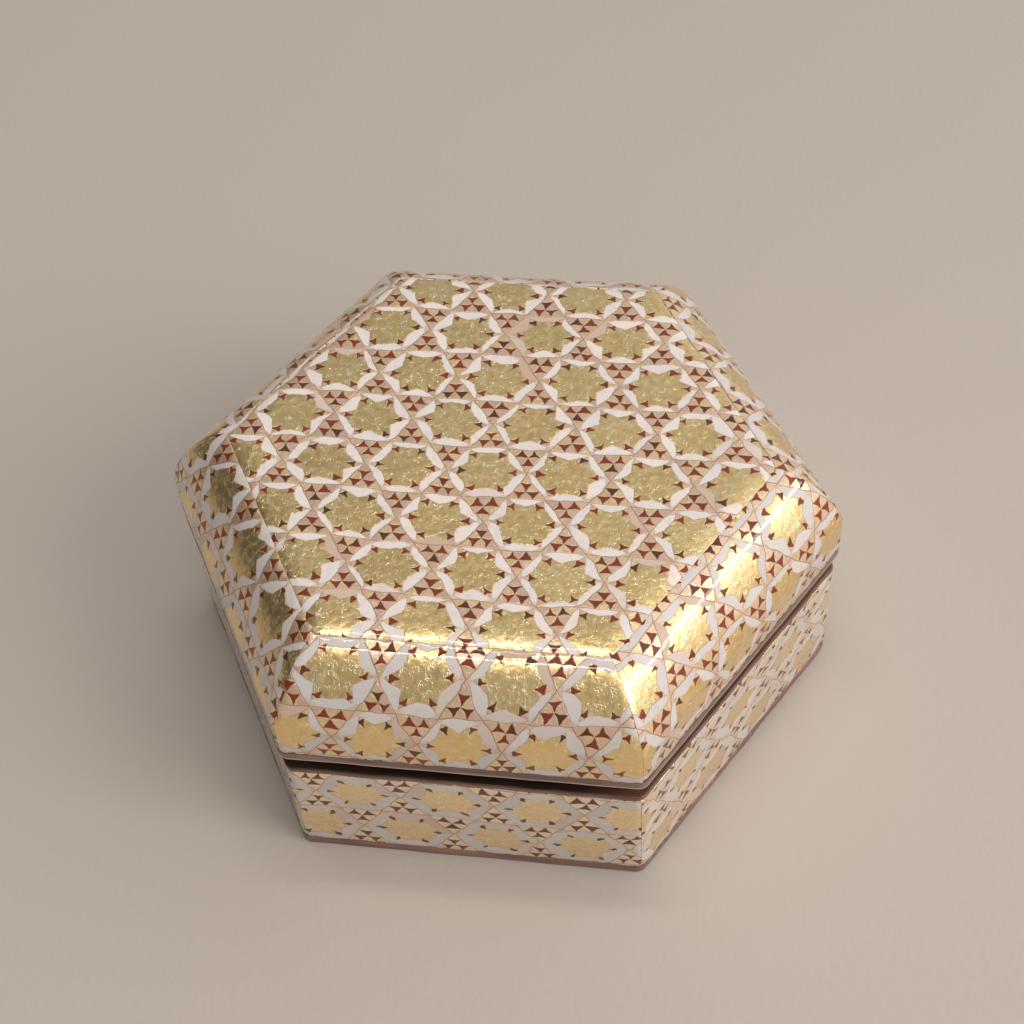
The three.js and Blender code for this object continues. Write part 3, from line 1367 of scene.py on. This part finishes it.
@dataclass(frozen=True)
class Softbox:
    """A soft rectangular lamp that faces a point on the box. Its two angles are in degrees."""

    name: str
    azimuth: float
    elevation: float
    distance: float
    width: float
    height: float
    power: float
    colour: Colour = (1.0, 0.98, 0.95)

    def place(self, target: np.ndarray) -> None:
        """Adds the lamp at its direction from the target: azimuth from +X, anticlockwise."""
        azimuth, elevation = math.radians(self.azimuth), math.radians(self.elevation)
        level = math.cos(elevation)
        away = np.array([level * math.cos(azimuth), level * math.sin(azimuth), math.sin(elevation)])
        lamp = bpy.data.lights.new(self.name, "AREA")
        lamp.shape = "RECTANGLE"
        lamp.size = self.width
        lamp.size_y = self.height
        lamp.energy = self.power
        lamp.color = self.colour
        holder = bpy.data.objects.new(self.name, lamp)
        side = unit(np.cross([0.0, 0.0, 1.0], away))
        over = np.cross(away, side)
        holder.matrix_world = Matrix.Translation(target + away * self.distance) @ basis(side, over, away)
        bpy.context.scene.collection.objects.link(holder)


def basis(right: np.ndarray, up: np.ndarray, back: np.ndarray) -> Matrix:
    """A turning matrix whose columns are these three directions."""
    return Matrix(np.stack([right, up, back], -1).tolist()).to_4x4()


@dataclass
class Studio:
    """The camera at the photograph's viewing angle, a pale floor and soft light."""

    camera_place: tuple[float, float, float] = (0.0364, -0.1748, 0.2392)
    camera_back: tuple[float, float, float] = (0.12610, -0.63127, 0.76524)
    camera_up: tuple[float, float, float] = (-0.06862, 0.76400, 0.64156)
    lens: float = 65.82
    floor_size: float = 6.0
    floor_points: int = 9
    world: Colour = (0.80, 0.80, 0.80)
    left_strength: float = 0.10
    right_strength: float = 1.07
    lit_point: tuple[float, float, float] = (0.0, 0.0, 0.02)
    lamps: tuple[Softbox, ...] = (
        Softbox("streak_softbox", 2, 27, 0.9, 0.5, 0.055, 0.8, (1.0, 0.98, 0.97)),
        Softbox("key_softbox", -22, 37, 1.0, 0.45, 0.55, 3.6),
        Softbox("seam_softbox", 100, 82, 0.9, 0.5, 0.03, 1.5),
        Softbox("front_softbox", -92, 70, 0.9, 0.4, 0.03, 0.9),
    )

    def build(self) -> None:
        """Sets up the camera, the floor, the world and the lamps."""
        scene = bpy.context.scene
        back = unit(np.array(self.camera_back))
        right = unit(np.cross(self.camera_up, back))
        up = np.cross(back, right)
        camera = bpy.data.cameras.new("camera")
        camera.lens = self.lens
        camera.clip_start = 0.01
        holder = bpy.data.objects.new("camera", camera)
        holder.matrix_world = Matrix.Translation(self.camera_place) @ basis(right, up, back)
        scene.collection.objects.link(holder)
        scene.camera = holder
        scene.view_settings.view_transform = "Standard"
        self.add_floor()
        self.add_world()
        for lamp in self.lamps:
            lamp.place(np.array(self.lit_point))

    def add_floor(self) -> None:
        """A flat sheet under the box."""
        share = np.linspace(-0.5, 0.5, self.floor_points) * self.floor_size
        x, y = np.meshgrid(share, share)
        points = np.stack([x, y, np.zeros_like(x)], -1).reshape(-1, 3)
        quads = grid_quads(self.floor_points, self.floor_points, False, False)
        floor = Shell(points, quads, np.zeros((len(quads), 4, 2))).piece("floor", "flat")
        floor.data.materials.append(PaleFloor().material())

    def add_world(self) -> None:
        """A pale surround that grows brighter from the left to the right."""
        world = bpy.data.worlds.new("surround")
        world.use_nodes = True
        nodes, links = world.node_tree.nodes, world.node_tree.links
        background = nodes["Background"]
        background.inputs["Color"].default_value = (*self.world, 1.0)
        direction = nodes.new("ShaderNodeTexCoord")
        parts = nodes.new("ShaderNodeSeparateXYZ")
        change = nodes.new("ShaderNodeMapRange")
        change.interpolation_type = "SMOOTHSTEP"
        ends = (-1.0, 1.0, self.left_strength, self.right_strength)
        for socket, number in zip(change.inputs[1:], ends):
            socket.default_value = number
        links.new(direction.outputs["Generated"], parts.inputs[0])
        links.new(parts.outputs["X"], change.inputs[0])
        links.new(change.outputs[0], background.inputs["Strength"])
        bpy.context.scene.world = world


# The patterns' places on the sheets

TOP_LATTICE = Lattice(11.77 * MM, 9.08 * MM, 4.73 * MM, 4.69 * MM, -0.042)

SHOULDER_LATTICES = {
    Side.FRONT: Lattice(11.9 * MM, 10.0 * MM, -4.62 * MM, -4.7 * MM, 0.09, 40),
    Side.FRONT_RIGHT: Lattice(11.88 * MM, 8.8 * MM, 3.35 * MM, -5.7 * MM, -0.05, 80),
    Side.BACK_RIGHT: Lattice(11.8 * MM, 9.6 * MM, -1.2 * MM, -4.9 * MM, 0.03, 120),
    Side.BACK: Lattice(11.7 * MM, 9.8 * MM, 2.1 * MM, -5.3 * MM, -0.04, 160),
    Side.BACK_LEFT: Lattice(11.9 * MM, 9.5 * MM, -3.4 * MM, -5.0 * MM, 0.05, 200),
    Side.FRONT_LEFT: Lattice(11.8 * MM, 9.7 * MM, 0.8 * MM, -4.8 * MM, 0.02, 240),
}

BASE_LATTICES = {
    Side.FRONT: Lattice(12.7 * MM, 8.5 * MM, -2.4 * MM, -4.4 * MM, 0.0, 280),
    Side.FRONT_RIGHT: Lattice(12.7 * MM, 7.9 * MM, -0.7 * MM, -5.9 * MM, 0.03, 320),
    Side.BACK_RIGHT: Lattice(12.5 * MM, 8.3 * MM, 3.0 * MM, -4.9 * MM, -0.02, 360),
    Side.BACK: Lattice(12.6 * MM, 8.4 * MM, -4.2 * MM, -5.2 * MM, 0.03, 400),
    Side.BACK_LEFT: Lattice(12.6 * MM, 8.5 * MM, 1.1 * MM, -4.6 * MM, 0.0, 440),
    Side.FRONT_LEFT: Lattice(12.7 * MM, 8.3 * MM, 5.2 * MM, -4.9 * MM, -0.03, 480),
}


def main() -> None:
    """Builds the studio, the wooden body and the marquetry."""
    logging.basicConfig(level=logging.INFO, format="%(message)s")
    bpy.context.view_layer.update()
    Studio().build()

    body = WoodBody(PLAN)
    body.board().build(PLAN, BOARD_WOOD.material())
    body.walls().build(PLAN, WALL_WOOD_WITH_PAINTED_SHADE.material())
    body.lid().build(PLAN, LID_WOOD_WORN_PAINTED_HIGHLIGHT.material())

    TopSheet(TOP_LATTICE).build(PLAN, TOP_MARQUETRY.material())
    shoulder = lid_outline(PLAN, PLAN.lip_edge + PLAN.glue)
    lid_sheets = SideSheets(
        "shoulder_sheet", "lid_panel", shoulder, SHOULDER_LATTICES, ripple_depth=0.07 * MM, seed=100
    )
    lid_sheets.build(PLAN, SHOULDER_MARQUETRY_PAINTED_SHADE.material())
    foot, head = [PLAN.base_apothem, PLAN.panel_bottom], [PLAN.base_apothem, PLAN.panel_top]
    wall = Profile(np.linspace(foot, head, WALL_POINTS))
    base_sheets = SideSheets(
        "base_sheet", "base_panel", wall, BASE_LATTICES, ripple_depth=0.06 * MM, seed=200
    )
    base_sheets.build(PLAN, BASE_MARQUETRY_PAINTED_LIGHT.material())


if __name__ == "__main__":
    main()
